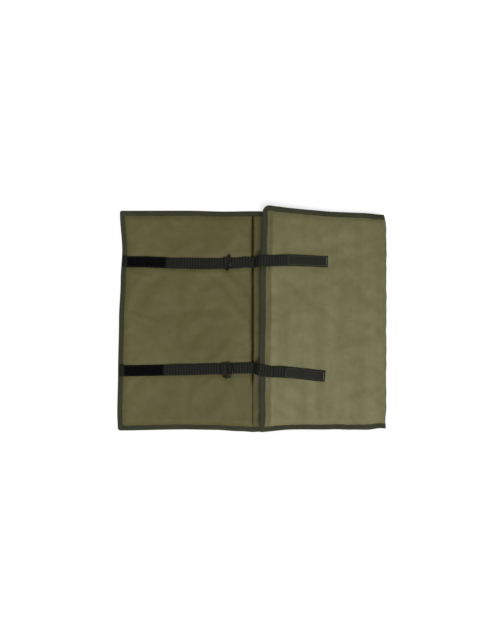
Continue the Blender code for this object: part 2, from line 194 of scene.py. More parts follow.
# Webbing
WEBBING_WIDTH = 0.025
WEBBING_THICKNESS = 0.0014
RIB_PITCH = 0.0062
RIB_HEIGHT = 0.00055
RIB_STEPS = 8
BEND_RADIUS = 0.005
BEND_LIMIT = math.radians(72)
LOOP_WIDTH = 0.0240
LOOP_HEIGHT = 0.0014
LOOP_SHIFTS = {"upper": (0.0020, 0.0045), "lower": (-0.0040, -0.0020)}
HOOK_WIDTH = 0.0212
HOOK_HEIGHT = 0.0009
PATCH_FLOOR = WEBBING_THICKNESS / 2 + RIB_HEIGHT * 0.6
STRAP_DRIFT = {
    "upper": millimetres(
        (-278, 0.7), (-244, 0.8), (-210, -0.2), (-175, -1.8), (-107, -2.2), (-78, -1.4), (-57.5, -0.6),
        (-37, 0), (-14, 2.2), (4, 1.4), (36, -0.2), (72, 1), (90, 1.2), (118, 0.4), (163, -1.1)
    ),
    "lower": millimetres(
        (-278, 2.2), (-210, 1.5), (-141, 1), (-90, 1.6), (-63, 0.8), (-37, 2), (-14, 1.6), (4, 1.8),
        (36, 0), (72, 1.6), (90, 1.7), (118, 0.7), (159, -0.3)
    ),
}
LAY_STEP = 0.0005
LAY_REACH = 60
LAY_ROUNDING = 0.0016
SLACK = 0.0015
TAUT_START = 0.0055
TAUT_END = 0.043

# D-rings
WIRE_RADIUS = 0.0019
RING_TILTS = {"upper": math.radians(63), "lower": math.radians(18)}
RING_TURNS = {"upper": math.radians(-7), "lower": math.radians(-7)}
RING_SLIDES = {"upper": 0.0005, "lower": -0.0012}
RING_SKEW = 0.0016
RING_HALF_WIDTH = 0.0160
RING_LEAN = 0.22
RING_DEPTH = 0.0203
RING_CORNER = 0.0045
TACK_GAPS = (-0.011, -0.0125, 0.011, 0.0125)

# Stitches
STITCH_PITCH = 0.0034
TACK_PITCH = 0.0026
STITCH_LENGTH = 0.0027
THREAD_RADIUS = 0.00028
BRIGHT_THREAD_RADIUS = 0.00042

# Camera and light
CAMERA_HEIGHT = 1.0
VIEW_HEIGHT = 1.459
SENSOR = 36.0
CAMERA_X = -0.0027
SUN_ENERGY = 1.75
SUN_ANGLE = math.radians(22)
SUN_TOWARDS = (0.10, -0.47, 1.0)
WORLD_LIGHT = 0.52
FLOOR_GLOW = 0.62


def rise(distance, run):
    """0 at the seam, 1 once this far in, levelling out like padding."""
    return np.sin(np.pi / 2 * np.clip(distance / run, 0, 1))


def lip(distance, run):
    """0 at a fold and 1 once this far in, with a steep wall and a round shoulder."""
    share = np.clip(distance / run, 0, 1)
    return np.sqrt(1 - (1 - share) ** 2)


def hem(distance):
    """The sewn hem beside the flap's free edge: a sloping strip, then a short round shoulder."""
    slope = HEM_RISE_SHARE * np.clip(distance / HEM_WIDTH, 0, 1)
    return slope + (1 - HEM_RISE_SHARE) * lip(distance - HEM_WIDTH + 0.001, HEM_SHOULDER_RUN)


def padding(distance):
    """The height of the padding inside a bound edge: round, and not too steep beside the tape."""
    return mix(lip(distance, PAD_RUN), rise(distance, PAD_RUN), 0.65)


def mix(first, second, share):
    return first + (second - first) * share


def smooth(share):
    share = np.clip(share, 0, 1)
    return share * share * (3 - 2 * share)


def wander(points, at):
    """A smooth line through (place, value) points."""
    places, values = np.array(points).T
    index = np.clip(np.searchsorted(places, at) - 1, 0, len(places) - 2)
    share = (at - places[index]) / (places[index + 1] - places[index])
    return mix(values[index], values[index + 1], smooth(share))


def ripple(along, lengths, seed):
    """An uneven wave of these wavelengths, the same on every run."""
    phases = np.random.default_rng(seed).uniform(0, 2 * np.pi, len(lengths))
    waves = [np.sin(2 * np.pi * along / length + phase) for length, phase in zip(lengths, phases)]
    return sum(waves) / math.sqrt(len(lengths))


def rumple(x, y, size, seed, waves=9):
    """A soft uneven field with bumps of about this size."""
    random = np.random.default_rng(seed)
    total = 0
    for _ in range(waves):
        angle = random.uniform(0, 2 * np.pi)
        length = size * random.uniform(0.7, 1.6)
        phase = random.uniform(0, 2 * np.pi)
        total = total + np.sin(2 * np.pi * (x * math.cos(angle) + y * math.sin(angle)) / length + phase)
    return total / math.sqrt(waves)


def bell(distance, reach):
    """1 at the middle, fading smoothly to 0 a few reaches away."""
    return np.exp(-((distance / reach) ** 2))


def crease(x, y, start, end, width, height):
    """A soft ridge along a line, fading at its ends."""
    along = np.array(end) - np.array(start)
    length = math.hypot(*along)
    along = along / length
    across = (x - start[0]) * -along[1] + (y - start[1]) * along[0]
    share = ((x - start[0]) * along[0] + (y - start[1]) * along[1]) / length
    return height * np.sin(np.pi * np.clip(share, 0, 1)) * bell(across, width)


def puckered(inside, along, waves, seed):
    """Waves along a sewn edge that fade inwards."""
    return np.exp(-np.clip(inside - TAPE_WIDTH, 0, 1) / PUCKER_REACH) * ripple(along, waves, seed)


def closing(y):
    """1 where the groove's lips meet, at its south end, and 0 where it is open."""
    return 1 - smooth((y - GROOVE_CLOSED_BELOW) / GROOVE_CLOSE_RUN)


def graded(start, end, first, widest=0.004, growth=1.3):
    """Places from start to end that lie close together at both ends."""
    half = (end - start) / 2
    steps = [0.0]
    step = first
    while steps[-1] < half:
        steps.append(steps[-1] + step)
        step = min(step * growth, widest)
    inwards = np.array(steps) * half / steps[-1]
    return np.concatenate([start + inwards, (end - inwards)[-2::-1]])


def columns(xs, low, high, shares):
    """Flat places in columns along X, each with its rows spread from low to high."""
    x = np.repeat(xs[:, None], len(shares), axis=1)
    return x, mix(low[:, None], high[:, None], shares[None, :])


def lengths_along(points):
    """The distance along a line at each of its points."""
    return np.concatenate([[0], np.cumsum(np.linalg.norm(np.diff(points, axis=0), axis=1))])


def unit(vectors):
    return vectors / np.linalg.norm(vectors, axis=-1, keepdims=True)


def add_object(name, data):
    made = bpy.data.objects.new(name, data)
    bpy.context.scene.collection.objects.link(made)
    return made


class Panel:
    """One padded panel of the mat, with the height of its faces at any place of the flat cut. The values
    below are what a panel has unless it is given others."""

    floor = 0.0
    top_fold = low_fold = corners = settled = swell = None
    lifts = (0.0, 0.0)
    end_drift = north_drift = south_drift = NO_DRIFT
    end_reach = 0.3
    end_form = staticmethod(padding)
    tape_stretch = 1.0
    pressed = False
    creases = straps = ()

    def __init__(self, name, start, end, **settings):
        vars(self).update(settings, name=name, start=start, end=end)
        self.end_margin = TAPE_WIDTH * self.tape_stretch

    def half(self, x):
        return mix(HALF_LENGTH, FOLD_HALF_LENGTH, np.clip(x / FOLD_X, 0, 1))

    def distances(self, x, y):
        """How far a place lies inside the side edges and inside the free edge."""
        side = self.half(x) - abs(y)
        end = x - self.start if self.corners else np.full_like(side, 1.0)
        return side, end

    def lift(self, x, y):
        north = np.clip((y / HALF_LENGTH + 1) / 2, 0, 1) ** CORNER_LIFT_CURVE
        return mix(*self.lifts, north) * (1 - np.clip((x - self.start) / LIFT_RUN, 0, 1)) ** LIFT_CURVE

    def drift(self, x, y):
        """How far the sewn panel has moved in plan at this place, along X and Y."""
        by_end = np.clip(1 - (x - self.start) / self.end_reach, 0, 1)
        by_fold = smooth(1 - (FOLD_X - x) / FOLD_DRIFT_REACH)
        out_x = wander(FOLD_DRIFT, y) * by_fold - wander(self.end_drift, y) * by_end
        if self.floor == 0:
            out_x = out_x + GROOVE_SHIFT * bell(x, GROOVE_SHIFT_REACH)
            edge = GROOVE_WAVE * ripple(y, GROOVE_WAVES, self.seed + 8) * bell(x, GROOVE_WAVE_REACH)
            closed = GROOVE_CLOSE * closing(y) * bell(x, GROOVE_CLOSE_FADE)
            out_x = out_x + edge * (1 - closing(y)) - closed * np.tanh(x / GROOVE_CLOSE_REACH)
        out_y = np.where(y > 0, wander(self.north_drift, x), -wander(self.south_drift, x))
        return out_x, out_y * (y / self.half(x)) ** 2

    def wrinkles(self, x, y):
        side, end = self.distances(x, y)
        pucker = puckered(side, x, SIDE_PUCKERS, self.seed)
        if self.corners:
            pucker = pucker + puckered(end, y, END_PUCKERS, self.seed + 1)
        total = PUCKER_HEIGHT * pucker + RUMPLE_HEIGHT * rumple(x, y, RUMPLE_SIZE, self.seed + 2)
        for line in self.creases:
            total = total + crease(x, y, *line)
        if self.swell:
            total = total + self.swell(x, y)
        total = total + self.settled_height(x, y)
        for strap in self.straps:
            away = abs(y - strap.centre(x)) - WEBBING_WIDTH / 2
            total = total - STRAP_PRESS * (1 - smooth(away / STRAP_PRESS_RUN))
            from_ring = np.hypot(x - strap.ring.x, y - strap.ring.y)
            total = total - RING_PRESS * bell(from_ring, RING_PRESS_REACH)
        return total

    def top(self, x, y):
        side, end = self.distances(x, y)
        full = padding(side - TAPE_WIDTH) * self.end_form(end - self.end_margin)
        if self.top_fold is not None:
            full = full * lip(abs(x - self.top_fold), FOLD_RUN)
        seam = TAPE_MIDDLE + EDGE_STACK / 2
        height = mix(seam, THICKNESS, full) + self.wrinkles(x, y) * smooth(full * 2)
        if self.pressed:
            height = np.minimum(height, THICKNESS)
        return self.floor + height + self.lift(x, y)

    def bottom(self, x, y):
        side, end = self.distances(x, y)
        down = rise(np.minimum(side, end) - TAPE_WIDTH, LOW_RUN)
        height = (TAPE_MIDDLE - EDGE_STACK / 2) * (1 - down)
        if self.floor:
            sag = 1 + np.tanh(rumple(x, y, UNDER_RUMPLE_SIZE, self.seed + 9))
            height = height + UNDER_RUMPLE_HEIGHT * down * sag
        if self.low_fold is not None:
            lifted = THICKNESS - EDGE_STACK
            height = np.maximum(height, lifted * (1 - lip(abs(x - self.low_fold), FOLD_RUN)))
        return self.floor + height + self.lift(x, y)

    def cloth_places(self):
        """A plain grid of flat places inside the tape for the simulation, with its columns and rows."""
        first = self.start + (TAPE_WIDTH if self.corners else GROOVE_GAP)
        xs = np.linspace(first, self.end - GROOVE_GAP, int((self.end - first) / CLOTH_GRID))
        shares = np.linspace(0, 1, int(2 * HALF_LENGTH / CLOTH_GRID))
        half = self.half(xs) - TAPE_WIDTH
        return xs, shares, *columns(xs, -half, half, shares)

    def settled_height(self, x, y):
        """How far the simulated cloth stands above or below the smooth padding here."""
        if self.settled is None:
            return 0.0
        xs, shares, heights = self.settled
        half = self.half(x) - TAPE_WIDTH
        column = np.clip((x - xs[0]) / (xs[-1] - xs[0]), 0, 1) * (len(xs) - 1)
        row = np.clip((y + half) / (2 * half), 0, 1) * (len(shares) - 1)
        i = np.clip(column.astype(int), 0, len(xs) - 2)
        j = np.clip(row.astype(int), 0, len(shares) - 2)
        across, up = column - i, row - j
        near = mix(heights[i, j], heights[i, j + 1], up)
        far = mix(heights[i + 1, j], heights[i + 1, j + 1], up)
        return mix(near, far, across)

    def cover(self, x, y):
        """The height of what lies on top here: the upper skin, or the tape over it."""
        side, end = self.distances(x, y)
        taped = np.minimum(side, end) < TAPE_WIDTH
        tape = self.floor + TAPE_MIDDLE + TAPE_HALF + self.lift(x, y)
        return np.where(taped, np.maximum(tape, self.top(x, y)), self.top(x, y))

    def place(self, x, y, z):
        """Points in the frame from places on the flat cut and their heights."""
        out_x, out_y = self.drift(x, y)
        return np.stack([x + out_x, y + out_y, z], axis=-1)

    def hemmed(self, x, y):
        """1 on the sewn hem inside the free edge's tape, where the cloth's material paints shade, 0
        elsewhere.
        """
        if self.end_form is not hem:
            return None
        _, end = self.distances(x, y)
        return 1 - smooth((end - self.end_margin - HEM_WIDTH + 0.0012) / 0.0018)

    def corner_cut(self, x):
        """How much a round corner takes off the north and the south end of a column."""
        cuts = []
        for radius in self.corners or (0, 0):
            inner = max(radius - TAPE_INSET, 0)
            away = np.clip(radius - (x - self.start), 0, inner)
            cuts.append(inner - np.sqrt(inner**2 - away**2))
        return cuts

    def grid(self):
        """Flat places over the panel, in columns along X and rows along Y, inside the tape's fold."""
        first = self.start + (TAPE_INSET if self.corners else GROOVE_GAP)
        last = self.end - (GROOVE_GAP if self.end == 0 else SEAM_GAP)
        xs = graded(first, last, 0.0006)
        north_cut, south_cut = self.corner_cut(xs)
        half = self.half(xs) - TAPE_INSET
        return columns(xs, south_cut - half, half - north_cut, graded(0, 1, 0.004, widest=0.008))

    def outline(self):
        """Functions from a distance in from the edge to a place, along the bound edge from north to south."""
        last = self.end - TAPE_JOINT_GAP
        north, south = self.corners
        stations = [self.side_station(x, 1) for x in side_places(self.start + north, last)[::-1]]
        stations += [self.corner_station(angle, north, 1) for angle in corner_angles()]
        stations += [self.end_station(y) for y in self.end_places(north, south)]
        stations += [self.corner_station(angle, south, -1) for angle in corner_angles()[::-1]]
        stations += [self.side_station(x, -1) for x in side_places(self.start + south, last)]
        return stations

    def end_places(self, north, south):
        half = self.half(self.start)
        return np.linspace(half - north, south - half, int(2 * half / TAPE_STEP))[1:-1]

    def side_station(self, x, side):
        return lambda inset: (x, side * (self.half(x) - inset))

    def end_station(self, y):
        return lambda inset: (self.start + inset * self.tape_stretch, y)

    def corner_station(self, angle, radius, side):
        """A place round a corner: the tape's inner edge is mitred where it is wider than the corner."""
        half = self.half(self.start + radius)

        def at(inset):
            reach = radius - inset
            if reach <= 0:
                return self.start + inset, side * (half - inset)
            x = self.start + radius - reach * math.sin(angle)
            return x, side * (half - radius + reach * math.cos(angle))

        return at


def side_places(first, last):
    return np.linspace(first, last, int((last - first) / TAPE_STEP) + 2)


def corner_angles():
    return [math.pi / 2 * step / 8 for step in range(9)]


LEFT = Panel(
    "left", LEFT_START, 0.0, top_fold=0.0, corners=(0.004, 0.0065), seed=11, end_drift=LEFT_END_DRIFT,
    north_drift=LEFT_NORTH_DRIFT, south_drift=LEFT_SOUTH_DRIFT, end_reach=-LEFT_START,
)
MIDDLE = Panel(
    "middle", 0.0, FOLD_X, top_fold=0.0, low_fold=FOLD_X, pressed=True, seed=23,
    north_drift=MIDDLE_NORTH_DRIFT, south_drift=MIDDLE_SOUTH_DRIFT,
)
FLAP = Panel(
    "flap", FLAP_START, FOLD_X, floor=FLAP_FLOOR, top_fold=FOLD_X, corners=(0.018, 0.005),
    lifts=(SOUTH_LIFT, NORTH_LIFT), end_drift=FLAP_END_DRIFT, north_drift=FLAP_NORTH_DRIFT,
    south_drift=FLAP_SOUTH_DRIFT, end_reach=0.08, end_form=hem, tape_stretch=1.06, seed=37,
)
PANELS = (LEFT, MIDDLE, FLAP)


def left_swell(x, y):
    """The panel lies slightly dished, with a flat shoulder beside the groove."""
    dish = 0.0016 * smooth((abs(x + 0.15) - 0.02) / 0.11) - 0.0010
    return dish + 0.0005 * rumple(x, y, 0.11, 51, 6)


def flap_swell(x, y):
    """Long soft waves that run from edge to edge, as on the folded flap in the photograph."""
    waves = 0.0009 * np.cos(2 * np.pi * (x + 0.02 * y - 0.092) / 0.046) * smooth((x - 0.09) / 0.04)
    ridge_x = FLAP_START + FLAP.end_margin + HEM_WIDTH + HEM_SHOULDER_RUN
    ridge = 0.0007 * bell(x - ridge_x, 0.003)
    return waves * (0.7 + 0.3 * rumple(x, y, 0.2, 52, 4)) + 0.0007 * rumple(x, y, 0.09, 53, 7) + ridge


LEFT.swell = left_swell
FLAP.swell = flap_swell
LEFT.creases = (
    ((-0.296, 0.022), (-0.210, -0.004), 0.006, 0.0009),
    ((-0.297, -0.196), (-0.235, -0.232), 0.007, 0.0010),
    ((-0.299, -0.150), (-0.250, -0.215), 0.008, 0.0007),
    ((-0.292, 0.112), (-0.225, 0.096), 0.005, 0.0007),
    ((-0.060, 0.170), (-0.012, 0.215), 0.008, 0.0006),
)
FLAP.creases = (
    ((0.045, 0.205), (0.110, 0.232), 0.007, 0.0008),
    ((0.210, -0.120), (0.275, -0.060), 0.010, 0.0008),
    ((0.190, -0.200), (0.260, -0.150), 0.010, 0.0007),
)


def bend_drop(away):
    """How far webbing has dropped this far from a corner that it bends round."""
    turned = min(BEND_RADIUS * math.sin(BEND_LIMIT), away)
    drop = BEND_RADIUS - math.sqrt(BEND_RADIUS**2 - turned**2)
    return drop + (away - turned) * math.tan(BEND_LIMIT)


class Strap:
    """The line of one strap, from its sewn west end over its ring and the flap's edge to its free end."""

    def __init__(self, side):
        self.side = side
        self.name = f"{side}_strap"
        ring = JOINTS[f"{side}_ring_swing"]["pos_m"]
        low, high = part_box(f"{self.name}_hook_patch")
        self.ring = Vector(ring)
        self.y = JOINTS[f"{side}_tail_lift"]["pos_m"][1]
        self.base_slope = (ring[1] - self.y) / ring[0]
        self.tail_slope = ((low.y + high.y) / 2 - self.y) / ((low.x + high.x) / 2)
        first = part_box(f"{self.name}_base")[0].x
        self.start = first + float(LEFT.drift(np.array(first), np.array(self.y))[0])
        self.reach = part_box(f"{self.name}_tail")[1].x

    def centre(self, x):
        straight = self.y + np.where(x < 0, self.base_slope, self.tail_slope) * x
        return straight + wander(STRAP_DRIFT[self.side], x)

    def support(self, x):
        """The highest thing under the webbing's width, with the bar of the ring."""
        level = THICKNESS - 0.0015 * (1 - smooth((x + 0.04) / 0.03))
        heights = []
        for share in np.linspace(-0.5, 0.5, 5):
            y = self.centre(x) + share * WEBBING_WIDTH
            height = np.maximum(LEFT.cover(x - LEFT.drift(x, y)[0], y), level)
            flap_x = x - FLAP.drift(x, y)[0]
            on_flap = flap_x > FLAP.start
            heights.append(np.where(on_flap, FLAP.cover(np.maximum(flap_x, FLAP.start), y), height))
        reach = WIRE_RADIUS + abs(math.tan(RING_TURNS[self.side])) * WEBBING_WIDTH / 2
        bar = abs(x - self.ring.x) < reach
        return np.maximum(np.max(heights, axis=0), np.where(bar, self.ring.z + WIRE_RADIUS, 0))

    def lay(self):
        """Lays the webbing over what it rests on, with no bend tighter than it takes."""
        x = np.arange(self.start, self.reach + LAY_STEP / 2, LAY_STEP)
        support = self.support(x)
        laid = self.taut(x, support)
        for shift in range(1, LAY_REACH):
            drop = bend_drop(shift * LAY_STEP)
            laid[shift:] = np.maximum(laid[shift:], support[:-shift] - drop)
            laid[:-shift] = np.maximum(laid[:-shift], support[shift:] - drop)
        for first, last in self.slack_spans():
            laid = laid + SLACK * np.sin(np.pi * np.clip((x - first) / (last - first), 0, 1)) ** 2
        kernel = bell(np.arange(-8, 9) * LAY_STEP, LAY_ROUNDING)
        rounded = np.convolve(np.pad(laid, 8, mode="edge"), kernel / kernel.sum(), mode="valid")
        z = rounded + WEBBING_THICKNESS / 2 + RIB_HEIGHT + LAYER_GAP
        self.points = np.stack([x, self.centre(x), z], axis=-1)
        self.along = lengths_along(self.points)

    def taut(self, x, support):
        """Pulls the webbing straight where it crosses from the left panel onto the lifted flap."""
        laid = support.copy()
        span = np.flatnonzero((x > TAUT_START) & (x < TAUT_END))
        hull = []
        for index in span:
            while len(hull) > 1:
                a, b = hull[-2:]
                slope = (support[index] - support[a]) / (x[index] - x[a])
                if support[b] > support[a] + slope * (x[b] - x[a]):
                    break
                hull.pop()
            hull.append(index)
        laid[span] = np.interp(x[span], x[hull], support[hull])
        return laid

    def slack_spans(self):
        """Where the webbing isn't sewn down and bows up a little."""
        patch_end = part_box(f"{self.name}_loop_patch")[1].x
        hook_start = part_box(f"{self.name}_hook_patch")[0].x
        return (patch_end, self.ring.x - 0.0145), (TAUT_END, hook_start + 0.02)

    def at_x(self, x):
        """The distance along the strap at this place along X."""
        return float(np.interp(x, self.points[:, 0], self.along))

    def line(self, along):
        return np.stack([np.interp(along, self.along, self.points[:, i]) for i in range(3)], axis=-1)

    def point(self, along, across, height):
        """Points at distances along and across the webbing and above its middle, with its directions."""
        forward = unit(self.line(along + 0.001) - self.line(along - 0.001))
        left = unit(np.stack([-forward[..., 1], forward[..., 0], np.zeros_like(forward[..., 0])], axis=-1))
        up = np.cross(forward, left)
        across, height = np.asarray(across)[..., None], np.asarray(height)[..., None]
        return self.line(along) + left * across + up * height, forward, up


STRAPS = (Strap("upper"), Strap("lower"))
LEFT.straps = STRAPS


def settle(panel):
    """Lets slightly oversized cloth settle over its foam, sewn down at its edges, and keeps its heights."""
    xs, shares, x, y = panel.cloth_places()
    flat = panel.top(x, y)
    points = np.stack([x, y, flat], axis=-1).reshape(-1, 3)
    rows = len(shares)
    corners = [i * rows + j for i in range(len(xs) - 1) for j in range(rows - 1)]
    faces = [(at, at + rows, at + rows + 1, at + 1) for at in corners]
    data = bpy.data.meshes.new(f"{panel.name}_settling")
    data.from_pydata(points.tolist(), [], faces)
    sheet = add_object(f"{panel.name}_settling", data)
    hold_cloth(panel, sheet, x, y)
    add_cloth(sheet)
    scene = bpy.context.scene
    for step in range(1, CLOTH_FRAMES + 1):
        scene.frame_set(step)
    evaluated = sheet.evaluated_get(bpy.context.evaluated_depsgraph_get())
    moved = np.empty(len(points) * 3)
    evaluated.data.vertices.foreach_get("co", moved)
    change = moved.reshape(len(xs), rows, 3)[..., 2] - flat
    bpy.data.objects.remove(sheet)
    bpy.data.meshes.remove(data)
    scene.frame_set(1)
    change = np.where(change > 0, SETTLE_UP, SETTLE_DOWN) * np.tanh(change / SETTLE_SCALE)
    panel.settled = (xs, shares, change)


def hold_cloth(panel, sheet, x, y):
    """Sews the cloth down at its edges and under the straps, and lets the foam hold the rest softly."""
    side, end = panel.distances(x, y)
    inside = np.minimum(side, end) - TAPE_WIDTH
    if panel.top_fold is not None:
        inside = np.minimum(inside, abs(x - panel.top_fold) - GROOVE_GAP)
    sewn = inside < CLOTH_GRID / 2
    for strap in panel.straps:
        sewn = sewn | (abs(y - strap.centre(x)) < WEBBING_WIDTH / 2)
    patches = FOAM_HOLD * (1 + 0.5 * np.tanh(rumple(x, y, 0.07, panel.seed + 6)))
    group = sheet.vertex_groups.new(name="hold")
    for index, weight in enumerate(np.where(sewn, 1.0, patches).ravel()):
        group.add([index], float(weight), "REPLACE")


def add_cloth(sheet):
    modifier = sheet.modifiers.new("Cloth", "CLOTH")
    for name, value in CLOTH_SETTINGS.items():
        setattr(modifier.settings, name, value)
    modifier.settings.effector_weights.gravity = 0
    modifier.point_cache.frame_start = 1
    modifier.point_cache.frame_end = CLOTH_FRAMES
    modifier.collision_settings.use_collision = False


for soft_panel in PANELS:
    settle(soft_panel)
for laid_strap in STRAPS:
    laid_strap.lay()


def finish_mesh(name, mesh, material):
    """Makes an object of a bmesh and shades it smooth."""
    bmesh.ops.remove_doubles(mesh, verts=mesh.verts, dist=1e-6)
    bmesh.ops.recalc_face_normals(mesh, faces=mesh.faces)
    data = bpy.data.meshes.new(name)
    mesh.to_mesh(data)
    mesh.free()
    data.materials.append(material)
    data.shade_smooth()
    data.set_sharp_from_angle(angle=math.radians(48))
    return add_object(name, data)


def bridge(mesh, first, second):
    """Faces between two loops of vertices."""
    for index in range(len(first)):
        after = (index + 1) % len(first)
        mesh.faces.new((first[index], first[after], second[after], second[index]))


def grid_layer(name, lower, upper, material, hemmed=None):
    """A closed layer between two grids of points of the same size. How far each place belongs to a hem is
    kept as an attribute, which the cloth's material reads."""
    mesh = bmesh.new()
    hem_layer = mesh.verts.layers.float.new("hem")
    low = [[mesh.verts.new(point) for point in row] for row in lower]
    high = [[mesh.verts.new(point) for point in row] for row in upper]
    if hemmed is not None:
        for row, shares in zip(high, hemmed):
            for vertex, share in zip(row, shares):
                vertex[hem_layer] = share
    rows, places = len(low), len(low[0])
    for i in range(rows - 1):
        for j in range(places - 1):
            mesh.faces.new((high[i][j], high[i + 1][j], high[i + 1][j + 1], high[i][j + 1]))
            mesh.faces.new((low[i][j + 1], low[i + 1][j + 1], low[i + 1][j], low[i][j]))
        for j in (0, places - 1):
            mesh.faces.new((low[i][j], low[i + 1][j], high[i + 1][j], high[i][j]))
    for j in range(places - 1):
        for i in (0, rows - 1):
            mesh.faces.new((low[i][j], low[i][j + 1], high[i][j + 1], high[i][j]))
    return finish_mesh(name, mesh, material)


def sweep(name, sections, material, ring=False, along=None, across=None):
    """A closed solid through sections, each a loop of points. Its distances along and across are kept
    as attributes, which the tape's and the webbing's materials read."""
    mesh = bmesh.new()
    along_layer = mesh.verts.layers.float.new("along")
    across_layer = mesh.verts.layers.float.new("across")
    rows = []
    for index, section in enumerate(sections):
        row = []
        for number, point in enumerate(section):
            vertex = mesh.verts.new(point)
            vertex[along_layer] = 0 if along is None else along[index]
            vertex[across_layer] = 0 if across is None else across[number]
            row.append(vertex)
        rows.append(row)
    for first, second in zip(rows, rows[1:] + rows[:1] if ring else rows[1:]):
        bridge(mesh, first, second)
    count = len(rows[0])
    if not ring:
        for row in (rows[0], rows[-1]):
            for index in range(count // 2 - 1):
                mesh.faces.new((row[index], row[index + 1], row[count - 2 - index], row[count - 1 - index]))
    return finish_mesh(name, mesh, material)


def stitches(name, places, material, radius=THREAD_RADIUS):
    """Short raised lengths of thread, each at (middle, direction, up)."""
    mesh = bmesh.new()
    profile = ((-0.5, -0.6, 0.55), (-0.28, 0.55, 1.0), (0.28, 0.55, 1.0), (0.5, -0.6, 0.55))
    angles = [2 * math.pi * turn / 5 for turn in range(5)]
    for middle, forward, up in places:
        middle, forward, up = Vector(middle), Vector(forward).normalized(), Vector(up).normalized()
        side = forward.cross(up).normalized()
        spokes = [side * math.cos(a) + up * math.sin(a) for a in angles]
        rows = []
        for share, height, size in profile:
            centre = middle + forward * STITCH_LENGTH * share + up * radius * height
            rows.append([mesh.verts.new(centre + spoke * radius * size) for spoke in spokes])
        for first, second in zip(rows, rows[1:]):
            bridge(mesh, first, second)
        mesh.faces.new(rows[0][::-1])
        mesh.faces.new(rows[-1])
    return finish_mesh(name, mesh, material)


# Materials


WHITE = (1, 1, 1)
CLOTH_THREAD = 0.0010
CLOTH_TONE = 0.10


class Paint:
    """A small helper that wires the nodes of one material."""

    def __init__(self, name, color, roughness, metallic=0.0, specular=0.3):
        self.material = bpy.data.materials.new(name)
        self.material.use_nodes = True
        self.material.diffuse_color = (*color, 1)
        self.tree = self.material.node_tree
        self.shader = self.tree.nodes["Principled BSDF"]
        self.color = color
        sockets = {"Base Color": (*color, 1), "Roughness": roughness, "Metallic": metallic}
        sockets["Specular IOR Level"] = specular
        for socket, value in sockets.items():
            self.shader.inputs[socket].default_value = value

    def node(self, kind, settings=(), **inputs):
        """A new node. Each input is named, or is i with its number, and takes a value or a socket."""
        made = self.tree.nodes.new(kind)
        for key, value in dict(settings).items():
            setattr(made, key, value)
        for key, value in inputs.items():
            socket = made.inputs[int(key[1:])] if key[1:].isdigit() else made.inputs[key.replace("_", " ")]
            if isinstance(value, bpy.types.NodeSocket):
                self.tree.links.new(value, socket)
            else:
                socket.default_value = value
        return made

    def where(self):
        return self.node("ShaderNodeTexCoord").outputs["Object"]

    def axis(self, name):
        return self.node("ShaderNodeSeparateXYZ", Vector=self.where()).outputs[name]

    def math(self, operation, first, second=0.0):
        return self.node("ShaderNodeMath", {"operation": operation}, i0=first, i1=second).outputs[0]

    def sum(self, *parts):
        """The sum of (value, weight) parts."""
        total = None
        for value, weight in parts:
            part = value if weight == 1 else self.math("MULTIPLY", value, weight)
            total = part if total is None else self.math("ADD", total, part)
        return total

    def noise(self, scale, detail, roughness, stretch=WHITE):
        place = self.node("ShaderNodeMapping", Vector=self.where(), Scale=stretch).outputs[0]
        made = self.node("ShaderNodeTexNoise", Vector=place, Scale=scale, Detail=detail, Roughness=roughness)
        return made.outputs["Fac"]

    def wave(self, direction, pitch, vector=None):
        """Bands across one direction, this far apart."""
        settings = {"wave_type": "BANDS", "bands_direction": direction, "wave_profile": "SIN"}
        place = vector or self.where()
        made = self.node("ShaderNodeTexWave", settings, Vector=place, Scale=math.pi / 10 / pitch)
        return made.outputs["Fac"]

    def ramp(self, value, low, high, start=0.0, end=1.0):
        """Stretches a value so that low becomes start and high becomes end."""
        return self.node("ShaderNodeMapRange", i0=value, i1=low, i2=high, i3=start, i4=end).outputs[0]

    def factor(self, share, low, high):
        """A colour that goes from low to high with share."""
        settings = {"data_type": "RGBA"}
        return self.node("ShaderNodeMix", settings, i0=share, i6=(*low, 1), i7=(*high, 1)).outputs[2]

    def tint(self, share, dark, light):
        """The material's colour times a factor that goes from dark to light with share."""
        low, high = ([value * times for value in self.color] for times in (dark, light))
        return self.factor(share, low, high)

    def shade(self, color, share, low, high):
        """A colour times a factor that goes from low to high with share."""
        settings = {"data_type": "RGBA", "blend_type": "MULTIPLY"}
        times = self.factor(share, low, high)
        return self.node("ShaderNodeMix", settings, i0=1.0, i6=color, i7=times).outputs[2]

    def attribute(self, name):
        return self.node("ShaderNodeAttribute", {"attribute_name": name}).outputs["Fac"]

    def along_across(self):
        along, across = self.attribute("along"), self.attribute("across")
        return self.node("ShaderNodeCombineXYZ", X=along, Y=across).outputs[0]

    def set(self, name, value):
        self.tree.links.new(value, self.shader.inputs[name])

    def finish(self, color, height, strength, distance):
        """Sets the colour and the bump, and gives the finished material."""
        self.set("Base Color", color)
        bump = self.node("ShaderNodeBump", Height=height, Strength=strength, Distance=distance)
        self.set("Normal", bump.outputs[0])
        return self.material


def paler(amount):
    """A factor that makes cloth paler by this share, blue most: used to paint light and shade into it."""
    return 1 + amount, 1 + amount, 1 + amount * 1.4


